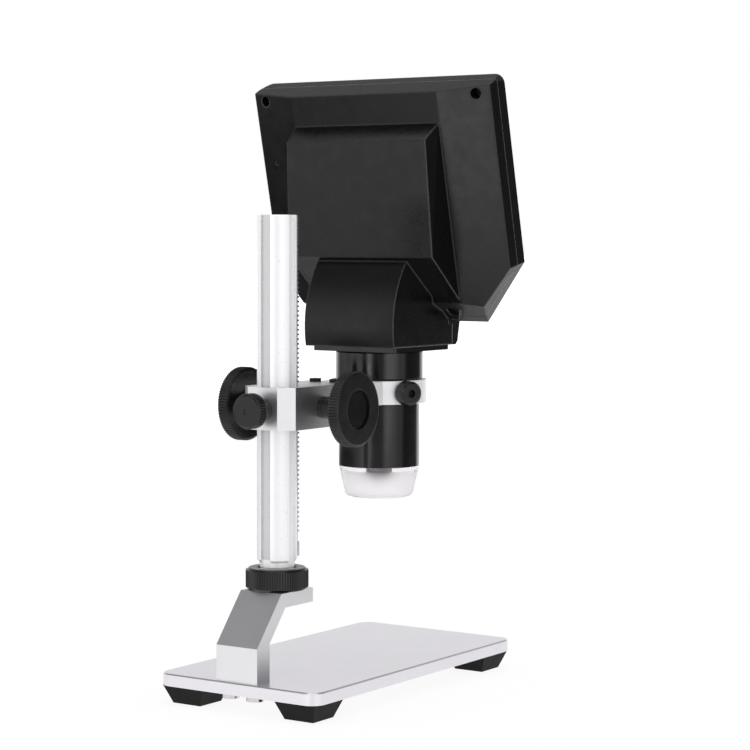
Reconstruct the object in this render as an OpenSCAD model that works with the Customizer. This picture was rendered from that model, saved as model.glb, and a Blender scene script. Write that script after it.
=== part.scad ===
// Digital microscope with an LCD head, on a rack-and-pinion column stand.
// Millimetres, +Z up. The origin is the centre of the base at table level. The operator sits on
// the -Y side, facing +Y, and the column stands near the back edge of the base.

/* [Base] */
// Width of the base plate, across X
base_w = 78; // [70:1:120]
// Depth of the base plate, along Y
base_d = 148; // [140:1:200]
// Thickness of the base plate
base_t = 5; // [4:0.5:8]
// Corner radius of the base plate
base_r = 6; // [3:0.5:9]
// Chamfer along the top edge of the base plate
base_chamfer = 0.5; // [0.2:0.1:1]
// Height of the rubber feet
foot_h = 7.5; // [6.5:0.5:15]
// Side of a foot where it meets the base plate
foot_w = 19.6; // [16:0.1:24]
// How far each side of a foot leans in on its way down
foot_taper = 3; // [1:0.5:4]
// Gap from a foot to the edges of the base plate
foot_inset = 1.6; // [0.5:0.1:4]

/* [Bracket] */
// Width of the bracket bar
bracket_w = 20; // [18:0.5:30]
// Thickness of the upright leg
bracket_leg_t = 8.2; // [7.5:0.1:11]
// Thickness of the sloping web and of the head that carries the column
bracket_t = 5.7; // [5:0.1:7]
// Height of the upright leg above the base plate
bracket_leg_h = 14.1; // [13:0.1:18]
// Height of the bracket's head above the base plate
bracket_h = 33.7; // [30:0.1:50]
// Length of the bracket's head along Y
bracket_head_l = 21.4; // [20:0.1:28]
// Gap from the bracket's back face to the back edge of the base plate
bracket_inset = 1.3; // [1:0.1:5]
// Distance from the bracket's back face to the column's axis
column_inset = 26.7; // [25:0.1:36]

/* [Column] */
// Radius of the column
column_r = 8; // [7.5:0.1:9]
// Height of the column above the bracket's head
column_h = 149.3; // [140:0.1:220]
// Length of the thread above the bracket's head
thread_l = 11.1; // [10:0.1:16]
// Outer radius of the column's thread
thread_r = 7; // [6.8:0.1:7.2]
// Pitch of the column's thread
thread_pitch = 1.5; // [1:0.1:2]
// Depth of the column's thread
thread_depth = 0.6; // [0.3:0.05:0.8]
// Width of the three plain grooves along the column
groove_w = 4.5; // [3:0.1:5]
// Depth of the grooves along the column
groove_depth = 1.2; // [0.6:0.1:1.5]
// Radius of the ring nut that locks the column
nut_r = 12.6; // [11:0.1:15]
// Height of the ring nut
nut_h = 8.7; // [7:0.1:9.5]

/* [Rack and pinion] */
// Gear module of the rack and its pinion
gear_module = 0.6; // [0.55:0.01:0.6]
// Number of teeth on the pinion
pinion_teeth = 10; // [10:1:11]
// Width of the rack strip
rack_w = 5; // [4:0.1:6]
// Depth of the slot in which the rack strip is seated
rack_seat = 1.5; // [1:0.1:2]
// Plain length of the rack strip below its teeth
rack_plain_bottom = 7.8; // [2:0.1:12]
// Plain length of the rack strip above its teeth
rack_plain_top = 12.7; // [2:0.1:20]
// Radius of the pinion shaft
shaft_r = 3; // [2.6:0.1:3]
// Outer radius of the bushes that carry the pinion shaft
bush_r = 4.5; // [4.2:0.1:5]
// How far a bush stands out of the carriage
bush_out = 1.8; // [1:0.1:3]

/* [Carriage] */
// Width of the carriage and of the holder arm
carriage_w = 24.8; // [23:0.1:30]
// Height of the carriage
carriage_h = 16.9; // [15:0.1:24]
// Height of the carriage's underside above the bracket's head
carriage_lift = 64.3; // [56:0.1:80]
// Distance from the column's axis to the carriage's back face
carriage_back = 9.7; // [9.6:0.1:13]
// Distance from the column's axis to the carriage's front face
carriage_front = 38; // [36:0.5:44]
// Chamfer on the carriage's two back corners
carriage_chamfer = 5.2; // [2:0.1:6]
// Distance from the column's axis to the pinion shaft's axis
shaft_reach = 14.24; // [14.24:0.02:15]
// How far the shaft's axis lies below the middle of the carriage's height
shaft_drop = 0.45; // [0:0.05:1]
// Height of the tongue that joins the holder arm to the carriage
tongue_h = 6.2; // [5:0.1:8]
// Width of the tongue
tongue_w = 14; // [10:0.5:18]
// Length of the tongue
tongue_l = 16; // [14:0.5:17]
// Radius of the two screws that hold the tongue
arm_screw_r = 1.3; // [1:0.1:1.5]
// Distance of these screws from the carriage's middle plane
arm_screw_x = 5; // [4:0.1:5.2]
// Distance of these screws from the carriage's front face
arm_screw_back = 4.7; // [3:0.1:8]

/* [Knobs] */
// Radius of a focusing knob
knob_r = 15.1; // [12:0.1:16]
// Distance from the middle of the carriage to a knob's outer face
knob_face = 29.7; // [27:0.1:36]
// Thickness of a knob's rim
knob_t = 5; // [4.6:0.1:6]
// Radius of the recess in a knob's outer face
knob_recess_r = 8.1; // [6:0.1:9]
// Depth of the recess in a knob's outer face
knob_recess = 2.8; // [2.7:0.1:3]
// How far the cap in this recess lies below the knob's outer face
cap_sink = 0.9; // [0.3:0.1:1]
// Depth of the shallow dish in a knob's inner face
knob_dish = 0.9; // [0.5:0.1:1]
// Number of ribs around a knob
knob_ribs = 80; // [40:2:96]
// Radius of the lock screw's head
lock_r = 7.05; // [5.5:0.05:8]
// Thickness of the lock screw's head
lock_t = 5.5; // [3:0.1:7]
// Distance from the carriage's back face to the lock screw's outer face
lock_out = 10.8; // [9:0.1:14]
// Radius of the ring screw's head
ring_screw_r = 5.1; // [4:0.1:5.4]
// Distance from the tube's axis to the ring screw's outer face
ring_screw_out = 26.2; // [23.6:0.1:28]
// Direction of the ring screw, turned from +Y towards -X
ring_screw_angle = 65; // [50:1:90]

/* [Holder ring] */
// Distance from the column's axis to the tube's axis
reach = 73.2; // [72:0.1:82]
// Wall of the holder ring
ring_wall = 3; // [2.5:0.1:4]
// Height of the holder ring
ring_h = 9.75; // [9:0.05:11]
// How far the ring's top lies below the carriage's top
ring_drop = 0.65; // [0:0.05:2]

/* [Tube] */
// Radius of the tube
tube_r = 17; // [16:0.1:19]
// Wall of the tube
tube_wall = 2; // [1.5:0.1:2.5]
// Length of tube below the holder ring
tube_below = 26.9; // [24:0.1:40]
// Radius of the focus ring
focus_r = 18.5; // [18.2:0.1:20]
// Height of the focus ring
focus_h = 11.9; // [10:0.1:14]
// Height of the clear cap below the tube
cap_h = 13.1; // [12:0.1:20]
// Radius of the clear cap at its lower end
cap_r = 14.7; // [14:0.1:16]
// Wall of the clear cap
cap_wall = 1.5; // [1:0.1:1.8]
// Radius of the opening in the clear cap's lower end
cap_mouth_r = 10; // [7:0.1:11]
// How far the clear cap's spigot reaches into the tube
spigot_l = 4; // [2.5:0.1:4]
// Radius of the lens barrel's nose
nose_r = 5.5; // [4.5:0.1:5.8]
// How far the nose stands out of the tube
nose_out = 5.2; // [3:0.1:7]
// Number of lamps around the nose
led_count = 8; // [4:1:10]

/* [Neck] */
// Width of the neck
neck_w = 44.7; // [43:0.1:52]
// Distance from the tube's axis to the neck's back face
neck_back = 23.3; // [22.5:0.1:26]
// Distance from the tube's axis to the neck's front face, at its foot
neck_front = 26.9; // [25:0.1:27.5]
// Distance from the tube's axis to the chin below the screen
chin_front = 28.6; // [27.6:0.1:30]
// Height of the chin's rise over the head's front face
chin_rise = 6; // [4:0.1:8]
// Radius of the curve down the neck's back
neck_curve = 42.7; // [38:0.1:50]
// Thickness of the flange plate under the neck
flange_t = 2.1; // [1.5:0.1:3]
// Width of the flange plate
flange_w = 41.9; // [38:0.1:43]
// Depth of the flange plate
flange_d = 41.6; // [38:0.1:43]
// How far the middle of the flange plate lies ahead of the tube's axis
flange_ahead = 1.6; // [1:0.1:2.5]

/* [Head] */
// How far the head leans back from upright, in degrees
tilt = 13.2; // [8:0.1:18]
// Height of the head's middle line above the neck's underside
head_rise = 38.8; // [37:0.1:42]
// Width of the head on each side of the display panel
side_border = 7.4; // [6.5:0.1:12]
// Height of the head above its middle line
head_top = 71.5; // [68:0.1:80]
// Depth of the head below its middle line
head_bottom = 33.7; // [31.5:0.1:35]
// Distance from the tube's axis to the head's front face, square to the screen
head_front = 17.5; // [17.2:0.1:19]
// Thickness of the head from its front face to its flat back
head_t = 15.6; // [15.2:0.1:17]
// Thickness of the front bezel's skirt, up to the parting line
bezel_t = 4.5; // [4:0.1:5]
// Width of the seam between the two housing shells
seam = 0.3; // [0.1:0.05:0.5]
// Wall of the two housing shells
wall = 2; // [1.6:0.1:2.2]
// How much the top of the head slopes from front to back
top_slope = 3.7; // [1:0.1:5]
// How much the bottom of the head slopes from front to back
bottom_slope = 11.9; // [9:0.1:13]
// How far the back's left and right facets fall away at the sides
facet_drop = 5; // [2:0.1:5.5]
// Width of the flat middle of the back
facet_w = 73.4; // [72.5:0.1:90]
// Width cut from each lower corner of the head
corner_w = 21.1; // [16:0.1:24]
// Height cut from each lower corner of the head
corner_h = 26.3; // [20:0.1:27]
// How much these cut corners slope inwards from front to back
corner_slope = 0.9; // [0:0.1:1.5]
// Radius of the head's upper corners
corner_r = 4; // [2:0.5:6]
// Width of the battery bump on the back
bump_w = 72; // [71:0.1:72.4]
// Height of the bump's upper edge above the head's middle line
bump_top = 54.7; // [52:0.1:60]
// Height of the bump's flat face above the head's middle line, at its top
bump_face_top = 49.8; // [47:0.1:51]
// Height of the bump's flat face above the head's middle line, at its bottom
bump_face_bottom = 2.1; // [1:0.1:4]
// Depth of the bump at the top of its face
bump_t_top = 9.8; // [9.6:0.1:12]
// Depth of the bump at the bottom of its face
bump_t_bottom = 17.4; // [16.5:0.1:19]
// Radius of the deep holes for the case screws
screw_hole_r = 2.3; // [2.1:0.05:2.5]

/* [Screen and keys] */
// How far the cover glass lies inside the display panel at each side
glass_side = 0.9; // [0.5:0.1:3]
// How far the cover glass lies inside the display panel at its top and bottom
glass_end = 2.2; // [1:0.1:4]
// Thickness of the cover glass
glass_t = 1.2; // [0.8:0.1:1.3]
// Height of the screen's centre above the head's middle line
screen_up = 27.5; // [26:0.1:29]
// Width of the bezel's lip behind the cover glass
lip_w = 2.3; // [1.5:0.1:3]
// Width of the display panel
panel_w = 105.4; // [105:0.1:106]
// Height of the display panel
panel_h = 67; // [65:0.1:67]
// Thickness of the display panel
panel_t = 2.7; // [2:0.1:2.8]
// Number of keys below the screen
key_count = 5; // [3:1:5]
// Distance between keys
key_pitch = 16; // [12:0.5:17]
// Radius of a key
key_r = 3.5; // [2.5:0.1:4.5]
// Depth of the keys below the head's middle line
key_down = 15; // [14:0.1:17]
// How far a key stands out of the bezel
key_out = 1.2; // [0.8:0.1:2]
// Travel of a key
key_travel = 0.6; // [0.3:0.05:0.7]

/* [Battery and ports] */
// Radius of the battery cell
cell_r = 9.2; // [9:0.05:9.25]
// Length of the battery cell
cell_l = 50; // [48:0.5:54]
// Height of the cell's axis above the head's middle line
cell_up = 11.4; // [9:0.1:11.4]
// Length of the USB port's opening
usb_l = 7.8; // [7:0.1:9]
// Height of the USB port's centre above the head's middle line
usb_up = 46; // [44:0.1:48]
// Length of the card slot
card_l = 12; // [11:0.1:13]
// Height of the card slot's centre above the head's middle line
card_up = 31; // [29:0.1:32]
// Radius of the reset hole
reset_r = 0.6; // [0.4:0.1:1]

/* [Clearances] */
// Radial clearance of a running fit
run_gap = 0.05; // [0.03:0.01:0.08]
// Gap between two pieces that pass without touching
free_gap = 0.3; // [0.2:0.05:0.4]
// Gap between a moving piece and the face it rests near
face_gap = 0.1; // [0.05:0.05:0.15]

/* [Hidden] */
$fn = 64;
eps = 0.01;    // overlap that makes a cut run clean through a face
far = 200;     // larger than any part of the microscope

// Levels and places of the stand
base_top = foot_h + base_t;
bracket_top = base_top + bracket_h;
bracket_back = base_d / 2 - bracket_inset;
column_y = bracket_back - column_inset;
column_top = bracket_top + column_h;
nut_z = bracket_top + face_gap / 2;
thread_top = bracket_top + thread_l;
shoulder_top = thread_top + column_r - thread_r;     // the column widens at 45 degrees
column_chamfer = 0.3;
nut_mouth = 1.2;              // countersink in the ring nut's top
foot_x = base_w / 2 - foot_inset - foot_w / 2;
foot_y = base_d / 2 - foot_inset - foot_w / 2;
foot_screw_r = 1.5;
foot_screw_head_r = 3;
foot_screw_head_h = 2;
foot_screw_recess = 2.5;      // how deep the screw's head sits in the foot
foot_screw_grip = 3;
bracket_screw_r = 2;
bracket_screw_head_r = 3.5;
bracket_screw_head_h = 2.2;
bracket_screw_grip = 9;
bracket_screw_x = (bracket_w - 8) / 2;
bracket_screw_y = bracket_back - bracket_leg_t / 2;

// Gear proportions, as multiples of the module
gear_pitch = PI * gear_module;
pinion_pitch_r = gear_module * pinion_teeth / 2;
addendum = 0.8 * gear_module;
dedendum = 1.1 * gear_module;
tooth_tip = 0.25 * gear_module;     // half thickness of a tooth at its tip
tooth_mid = 0.56 * gear_module;     // half thickness on the pitch line
tooth_root = 0.85 * gear_module;    // half thickness at its root
pinion_w = 6;
rack_pitch_line = shaft_reach - pinion_pitch_r;
rack_tip = rack_pitch_line + addendum;

// Levels and places of the carriage and its screws
carriage_z = bracket_top + carriage_lift;
carriage_top = carriage_z + carriage_h;
shaft_y = column_y - shaft_reach;
shaft_z = carriage_z + carriage_h / 2 - shaft_drop;
rack_bottom = shoulder_top + face_gap;
rack_slot_w = rack_w + 2 * free_gap;
rack_slot_reach = rack_tip + free_gap;
bush_in = pinion_w / 2 + 2.5;
bush_end = carriage_w / 2 + bush_out;
bush_notch = 1.4;
hub_r = bush_r;
knob_inner = knob_face - knob_t;
shaft_end = knob_face - knob_recess;
knob_bevel = 0.4;
rib_depth = 0.45;
knob_screw_r = 1.25;
knob_screw_head_r = 2.8;
knob_screw_head_h = 1.2;
knob_screw_grip = 6;
cap_pocket_r = knob_screw_head_r + free_gap;
lock_shank_r = 3;
lock_collar_r = 4.7;
lock_ribs = 44;
pad_r = 2;
pad_tip = column_r - groove_depth + run_gap;
pad_end = column_r + 0.6;
tongue_z = carriage_z + carriage_h / 2 - 0.3;    // underside of the tongue
tongue_end = carriage_front - tongue_l;
arm_screw_y = column_y - carriage_front + arm_screw_back;
arm_screw_head_r = arm_screw_r + 1.1;
arm_screw_head_h = 1.4;
arm_screw_tip = tongue_z + 0.8;

// Levels of the tube
tube_y = column_y - reach;
ring_top = carriage_top - ring_drop;
ring_z = ring_top - ring_h;
ring_mid = ring_z + ring_h / 2;
ring_bore_r = tube_r + run_gap;
ring_r = ring_bore_r + ring_wall;
ring_screw_shank_r = 2.5;
ring_screw_in = ring_r + face_gap;
ring_screw_ribs = 36;
socket_r = 1.75;
socket_depth = 2.5;
tube_z = ring_z - tube_below;
tube_bore_r = tube_r - tube_wall;
shoulder_z = ring_top + face_gap;
focus_z = shoulder_z + face_gap;
focus_top = focus_z + focus_h;
flange_z = focus_top + face_gap;
neck_z = flange_z + flange_t;
neck_bulge = 8.4;             // height of the widest point of the neck's back
neck_cut = 1.5;               // chamfer along the neck's lower front edge
neck_seam = 23.1;             // distance from the tube's axis to the seam down the neck
neck_slack = 5;               // how far the neck's outline runs past its curved back
neck_root = 8;                // how far its upper end hides above the bump's lower edge
flange_r = 1.2;
sleeve_r = focus_r - 3.05;
sleeve_bore_r = sleeve_r - 2.05;
sleeve_collar_r = sleeve_r + 2;
sleeve_collar_h = 1.5;
bore_step_z = ring_z + 1;
cap_top = tube_z - face_gap / 2;
cap_z = tube_z - cap_h;
cap_round = 2.5;
spigot_r = tube_bore_r - run_gap;
led_board_t = 1.6;
led_size = 2.8;
led_h = 0.9;
led_board_z = tube_z + spigot_l + led_h + 0.3;
led_board_hole_r = nose_r + 0.6;
led_ring_r = (led_board_hole_r + spigot_r - cap_wall) / 2 + 0.2;
nose_z = tube_z - nose_out;
carrier_mid_r = tube_bore_r - 6;
carrier_guide_r = sleeve_bore_r - run_gap;
carrier_guide_l = 13;
sensor_board_t = 1.6;
sensor_size = 8;
sensor_h = 1.2;
sensor_board_z = neck_z - 2.6;
carrier_top = sensor_board_z - sensor_h - 4;
guide_z = carrier_top - carrier_guide_l;
nose_l = 16;                                  // straight length of the lens barrel's nose
nose_cone_l = 4;
lens_t = 2.4;
lens_inset = 0.8;
nose_wall = 1.3;
carrier_wall = 2.5;
nose_lens_r = nose_r - nose_wall;
rear_lens_r = carrier_mid_r - carrier_wall;
rear_lens_z = guide_z + 3;

head_w = panel_w + 2 * side_border;
glass_w = panel_w - 2 * glass_side;
glass_h = panel_h - 2 * glass_end;

// The head's own frame: its x is the part's X, y runs square to the screen towards the back,
// and z runs up along the screen. Its origin lies on the tube's axis at head_z.
head_z = neck_z + head_rise;
back_w = head_t - head_front;                 // the flat back
parting = bezel_t - head_front;               // where the front shell ends
front_in = wall - head_front;                 // inner face of the front wall
side_slope = 1;                               // how much each side of the head slopes inwards
bump_root = 12;                               // how deep the bump's shape reaches into the head
bump_lift = 1.5;                              // from the head's bottom to the underside, at the seam
bump_toe = 0.5;                               // how far the underside's end lies behind the front face
bump_toe_in = 3;                              // and how much narrower it is at each side
bump_side_slope = 1.3;                        // draft of the bump's sides at the top
bump_flare = 0.3;                             // and how much they widen by the bottom
bump_taper = 8;                               // how much the underside narrows at each side
bump_skirt = 11.7;                            // height over which it narrows
bump_inside = back_w - bump_root;
bump_low_z = bump_lift - head_bottom;
bump_half_top = bump_w / 2 - bump_side_slope;
bump_half_low = bump_w / 2 - bump_taper;
bump_overlap = 0.5;                           // how far the space in the bump reaches into the head's
bump_face_y_top = back_w + bump_t_top;
bump_face_y_bottom = back_w + bump_t_bottom;
boss_r = 3.8;
screw_from_side = 7.1;
screw_from_top = 5.9;
screw_from_bump = 8.5;
screw_from_bottom = 6.4;
case_screw_r = 1.1;
case_screw_head_r = 1.9;
case_screw_head_h = 1.4;
case_screw_head_y = parting + 2;
case_screw_tip = front_in + 0.4;
upper_screw_x = head_w / 2 - screw_from_side;
upper_screw_z = head_top - screw_from_top;
lower_screw_x = bump_w / 2 - screw_from_bump;
lower_screw_z = screw_from_bottom - head_bottom;
SCREW_PLACES = [[-upper_screw_x, upper_screw_z], [upper_screw_x, upper_screw_z],
                [-lower_screw_x, lower_screw_z], [lower_screw_x, lower_screw_z]];

// Screen, keys and electronics, in the head's frame
lip_gap = 0.2;
panel_y = front_in + face_gap;
board_t = 1.6;
usb_t = 2.8;
card_t = 1.6;
board_y = parting + seam + face_gap + usb_t;   // the ports lie just behind the seam
board_half = panel_w / 2 + 2.2;
board_low = screen_up - panel_h / 2 + 3;
board_high = screen_up + panel_h / 2 - 1.5;
chip_w = 10;
chip_t = 1.2;
chip_pitch = 16;
chip_gap = 6;
port_in = panel_w / 2 + 0.4;
port_out = head_w / 2 - 0.7;
reset_in = 9;                                 // distance from the head's side to the reset hole
key_flange_r = key_r + 1;
key_flange_t = 0.8;
key_hole_gap = 0.15;
key_flange_y = front_in + face_gap;
key_stem_end = key_flange_y + key_flange_t + 0.5;
switch_y = key_stem_end + key_travel + face_gap;
switch_h = 0.8;
switch_size = 4;
key_board_y = switch_y + switch_h;
key_board_h = 10;
cell_y = bump_face_y_top + (bump_t_bottom - bump_t_top) *
         (bump_face_top - cell_up - cell_r) / (bump_face_top - bump_face_bottom) - wall - cell_r - 0.2;
contact_t = 0.6;
holder_wall = 1.2;
holder_half = cell_l / 2;
holder_top_y = cell_y - cell_r / 3;
board_back_y = board_y + board_t;
cable_w = 10;
cable_t = 0.3;
cable_knee = 14;                              // how high the cable rises before it leans forward

// ---------- shared shapes ----------

// Moves the edges of a convex outline, given counter-clockwise, inwards by t
function edge_normal(a, b) = [a[1] - b[1], b[0] - a[0]] / norm(b - a);
function crossing(p, n, q, m) =
    let (d = n[0] * m[1] - n[1] * m[0], c = n * p, e = m * q)
    [(c * m[1] - e * n[1]) / d, (n[0] * e - m[0] * c) / d];
function inset(pts, t) =
    let (k = len(pts))
    [for (i = [0:k - 1])
        let (a = pts[(i + k - 1) % k], b = pts[i], c = pts[(i + 1) % k],
             n = edge_normal(a, b), m = edge_normal(b, c))
        crossing(b + t * n, n, b + t * m, m)];

// Points along an arc, from angle a0 to a1
function arc(centre, r, a0, a1, steps) =
    [for (i = [0:steps]) let (a = a0 + (a1 - a0) * i / steps) centre + r * [cos(a), sin(a)]];

// A point of the head's frame, given as [y, z], in the part's own Y and Z
function from_head(p) =
    [tube_y + p[0] * cos(tilt) + p[1] * sin(tilt), head_z - p[0] * sin(tilt) + p[1] * cos(tilt)];

module at_column(z = 0) translate([0, column_y, z]) children();
module at_tube(z = 0) translate([0, tube_y, z]) children();
module in_head() translate([0, tube_y, head_z]) rotate([-tilt, 0, 0]) children();

// Turns +Z into +X or +Y, about the named axis line
module along_shaft() translate([0, shaft_y, shaft_z]) rotate([0, 90, 0]) children();
module along_lock() translate([0, column_y, shaft_z]) rotate([-90, 0, 0]) children();
module along_ring_screw()
    translate([0, tube_y, ring_mid]) rotate([0, 0, ring_screw_angle]) rotate([-90, 0, 0]) children();

// Extrudes an outline drawn in Y and Z across X, centred
module across_x(w) translate([-w / 2, 0, 0]) rotate([90, 0, 90]) linear_extrude(w) children();

module on_both_sides() {
    children();
    mirror([1, 0, 0]) children();
}

// A plate on z = 0 with round corners and a chamfer along its top edge
module chamfered_plate(w, d, h, r, c) {
    function section(half) = [[-half, 0], [half, 0], [half, h - c], [half - c, h],
                              [c - half, h], [-half, h - c]];
    for (x = [r - w / 2, w / 2 - r], y = [r - d / 2, d / 2 - r])
        translate([x, y, 0]) rotate_extrude() polygon([[0, 0], [r, 0], [r, h - c], [r - c, h], [0, h]]);
    across_x(w - 2 * r) polygon(section(d / 2));
    rotate([0, 0, 90]) across_x(d - 2 * r) polygon(section(w / 2));
}

// A disc with straight ribs around it and a bevel at both ends, from z = 0 to h
module ribbed_disc(r, h, ribs, depth, bevel) {
    core = r - depth - 0.1;
    translate([0, 0, bevel])
        linear_extrude(h - 2 * bevel)
            polygon([for (i = [0:2 * ribs - 1])
                let (a = 180 * i / ribs, q = i % 2 == 0 ? r : r - depth) q * [cos(a), sin(a)]]);
    cylinder(h = bevel, r1 = core - bevel, r2 = core);
    translate([0, 0, h - bevel]) cylinder(h = bevel, r1 = core, r2 = core - bevel);
}

// ---------- stand ----------

module base_plate() color("gainsboro") difference() {
    translate([0, 0, foot_h]) chamfered_plate(base_w, base_d, base_t, base_r, base_chamfer);
    for (x = [-bracket_screw_x, bracket_screw_x])
        translate([x, bracket_screw_y, foot_h - eps])
            cylinder(h = base_t + 2 * eps, r = bracket_screw_r + run_gap);
    for (x = [-foot_x, foot_x], y = [-foot_y, foot_y])
        translate([x, y, foot_h - eps]) cylinder(h = foot_screw_grip + eps, r = foot_screw_r);
}

module rubber_feet() color([0.12, 0.12, 0.12]) difference() {
    for (x = [-foot_x, foot_x], y = [-foot_y, foot_y])
        hull() {
            translate([x, y, foot_h - eps / 2]) cube([foot_w, foot_w, eps], center = true);
            translate([x, y, eps / 2])
                cube([foot_w - 2 * foot_taper, foot_w - 2 * foot_taper, eps], center = true);
        }
    for (x = [-foot_x, foot_x], y = [-foot_y, foot_y]) translate([x, y, -eps]) {
        cylinder(h = foot_screw_recess + foot_screw_head_h + eps, r = foot_screw_head_r + run_gap);
        cylinder(h = foot_h + 2 * eps, r = foot_screw_r + run_gap);
    }
}

module foot_screws() color("silver")
    for (x = [-foot_x, foot_x], y = [-foot_y, foot_y]) translate([x, y, foot_screw_recess]) difference() {
        union() {
            cylinder(h = foot_screw_head_h, r = foot_screw_head_r);
            cylinder(h = foot_h - foot_screw_recess + foot_screw_grip, r = foot_screw_r);
        }
        translate([0, 0, -eps]) cylinder(h = foot_screw_head_h / 2, r = foot_screw_r, $fn = 6);
    }

// The bent bar: a leg on the base, a sloping web and a level head
module bracket() {
    y0 = bracket_back;
    half = bracket_head_l / 2;
    leg_top = base_top + bracket_leg_h;
    slope = (bracket_top - leg_top) / (column_y + half - y0);
    rise = bracket_t * sqrt(1 + slope * slope);      // the web's thickness, measured along Z
    under = bracket_top - bracket_t;
    outline = [[y0, base_top], [y0, leg_top], [column_y + half, bracket_top],
               [column_y - half, bracket_top], [column_y - half, under],
               [y0 + (under - leg_top + rise) / slope, under],
               [y0 - bracket_leg_t, leg_top - slope * bracket_leg_t - rise],
               [y0 - bracket_leg_t, base_top]];
    color("silver") difference() {
        across_x(bracket_w) polygon(outline);
        at_column(under - eps) cylinder(h = bracket_t + 2 * eps, r = thread_r);
        for (x = [-bracket_screw_x, bracket_screw_x])
            translate([x, bracket_screw_y, base_top - eps])
                cylinder(h = bracket_screw_grip + eps, r = bracket_screw_r);
    }
}

module bracket_screws() color("silver")
    for (x = [-bracket_screw_x, bracket_screw_x])
        translate([x, bracket_screw_y, foot_h - bracket_screw_head_h]) difference() {
            union() {
                cylinder(h = bracket_screw_head_h, r = bracket_screw_head_r);
                cylinder(h = bracket_screw_head_h + base_t + bracket_screw_grip, r = bracket_screw_r);
            }
            translate([0, 0, -eps]) cylinder(h = bracket_screw_head_h / 2, r = bracket_screw_r, $fn = 6);
        }

// The extruded column: a thread at its foot, three grooves and a slot for the rack
module column() {
    foot = bracket_top - bracket_t;
    turns = floor((thread_top - foot - thread_depth) / thread_pitch);
    crests = [for (i = [0:turns - 1], step = [0, 0.5])
                [thread_r - (step == 0 ? 0 : thread_depth), foot + (i + step) * thread_pitch]];
    color("lightgray") difference() {
        at_column() rotate_extrude()
            polygon(concat([[0, foot]], crests,
                           [[thread_r, foot + turns * thread_pitch], [thread_r, thread_top],
                            [column_r, shoulder_top], [column_r, column_top - column_chamfer],
                            [column_r - column_chamfer, column_top], [0, column_top]]));
        for (a = [0, 90, 270]) at_column(foot - eps) rotate([0, 0, a])
            translate([-groove_w / 2, column_r - groove_depth, 0]) cube([groove_w, groove_depth + 1, far]);
        at_column(rack_bottom) translate([-rack_w / 2, -column_r - 1, 0]) cube([rack_w, rack_seat + 1, far]);
    }
}

// The toothed strip in the column's front slot; a gap between its teeth faces the pinion's axis
module rack() {
    low = rack_bottom + rack_plain_bottom;
    high = column_top - rack_plain_top;
    first = ceil((low - shaft_z) / gear_pitch);
    last = floor((high - shaft_z) / gear_pitch) - 1;
    tip = -rack_tip;
    root = -rack_pitch_line + dedendum;
    middle = -rack_pitch_line;
    back = rack_seat - column_r;
    flank = [[root, -tooth_root], [middle, -tooth_mid], [tip, -tooth_tip],
             [tip, tooth_tip], [middle, tooth_mid], [root, tooth_root]];
    teeth = [for (i = [first:last], p = flank) p + [0, shaft_z + (i + 0.5) * gear_pitch]];
    color("silver") at_column() across_x(rack_w)
        polygon(concat([[back, rack_bottom], [tip, rack_bottom],
                        [tip, low - gear_pitch], [root, low - gear_pitch]], teeth,
                       [[root, high + gear_pitch / 2], [tip, high + gear_pitch / 2],
                        [tip, column_top], [back, column_top]]));
}

module ring_nut() color([0.1, 0.1, 0.1]) at_column(nut_z) difference() {
    ribbed_disc(nut_r, nut_h, 72, 0.35, 0.9);
    translate([0, 0, -eps]) cylinder(h = nut_h + 2 * eps, r = thread_r + run_gap);
    translate([0, 0, nut_h - nut_mouth])
        cylinder(h = nut_mouth + eps, r1 = thread_r + run_gap, r2 = thread_r + nut_mouth);
}

// ---------- carriage ----------

// The block that slides on the column
module carriage() color("lightgray") difference() {
    at_column(carriage_z) linear_extrude(carriage_h)
        polygon([[-carriage_w / 2, -carriage_front], [carriage_w / 2, -carriage_front],
                 [carriage_w / 2, carriage_back - carriage_chamfer],
                 [carriage_w / 2 - carriage_chamfer, carriage_back],
                 [carriage_chamfer - carriage_w / 2, carriage_back],
                 [-carriage_w / 2, carriage_back - carriage_chamfer]]);
    at_column(carriage_z - eps) {
        cylinder(h = carriage_h + 2 * eps, r = column_r + run_gap);
        translate([-rack_slot_w / 2, -rack_slot_reach, 0])
            cube([rack_slot_w, rack_slot_reach, carriage_h + 2 * eps]);
    }
    along_shaft() cylinder(h = carriage_w + 2 * eps, r = bush_r, center = true);
    along_lock() cylinder(h = carriage_back + 1, r = lock_shank_r + run_gap);
    translate([-tongue_w / 2, column_y - carriage_front - eps, tongue_z])
        cube([tongue_w, tongue_l + eps, tongue_h]);
    for (x = [-arm_screw_x, arm_screw_x])
        translate([x, arm_screw_y, tongue_z]) cylinder(h = carriage_h, r = arm_screw_r + run_gap);
}

// Two bushes that carry the pinion shaft, each with a notch for adjusting it
module shaft_bushes() color([0.1, 0.1, 0.1]) on_both_sides() difference() {
    along_shaft() translate([0, 0, bush_in]) difference() {
        cylinder(h = bush_end - bush_in, r = bush_r);
        translate([0, 0, -eps]) cylinder(h = bush_end - bush_in + 2 * eps, r = shaft_r + run_gap);
    }
    translate([bush_end - bush_notch / 2, shaft_y, shaft_z + bush_r])
        cube([bush_notch + eps, bush_notch, bush_notch * 1.5], center = true);
}

// The soft pad between the lock screw and the column's back groove
module lock_pad() color("white") along_lock() {
    translate([0, 0, pad_tip]) cylinder(h = pad_end - pad_tip, r = pad_r);
    translate([0, 0, column_r + 2 * run_gap])
        cylinder(h = pad_end - column_r - 2 * run_gap, r = lock_shank_r + run_gap);
}

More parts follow.
